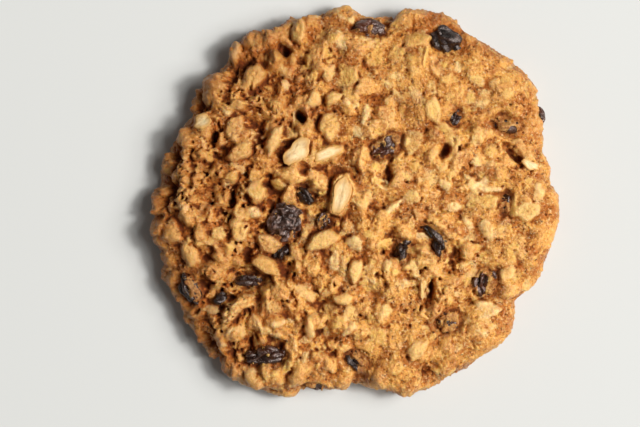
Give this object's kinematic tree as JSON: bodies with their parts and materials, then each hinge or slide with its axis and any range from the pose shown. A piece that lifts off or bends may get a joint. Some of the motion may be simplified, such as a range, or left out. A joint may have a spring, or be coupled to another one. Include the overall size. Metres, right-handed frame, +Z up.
{
  "type": "oatmeal raisin cookie",
  "caption": "Thick round drop cookie with a craggy top and rounded rim, rolled oats baked into the dough, wrinkled raisins in beds of their own, and a flat underside.",
  "frame": {"origin": "middle of the flat underside, where the cookie rests", "axes": "+Z up through the thickness; +X and +Y in the plane of the underside"},
  "size_m": [0.1056, 0.1012, 0.0161],
  "materials": {
    "baked_dough": "matt, porous, golden brown crust",
    "raisin": "wrinkled, softly glossy, near black"
  },
  "bodies": {
    "root": {"dough_with_oats": "baked_dough", "raisin_01": "raisin", "raisin_02": "raisin", "raisin_03": "raisin", "raisin_04": "raisin", "raisin_05": "raisin", "raisin_06": "raisin", "raisin_07": "raisin", "raisin_08": "raisin", "raisin_09": "raisin", "raisin_10": "raisin", "raisin_11": "raisin", "raisin_12": "raisin", "raisin_13": "raisin", "raisin_14": "raisin", "raisin_15": "raisin", "raisin_16": "raisin", "raisin_17": "raisin", "raisin_18": "raisin", "raisin_19": "raisin", "raisin_20": "raisin", "raisin_21": "raisin"}
  },
  "joints": []
}
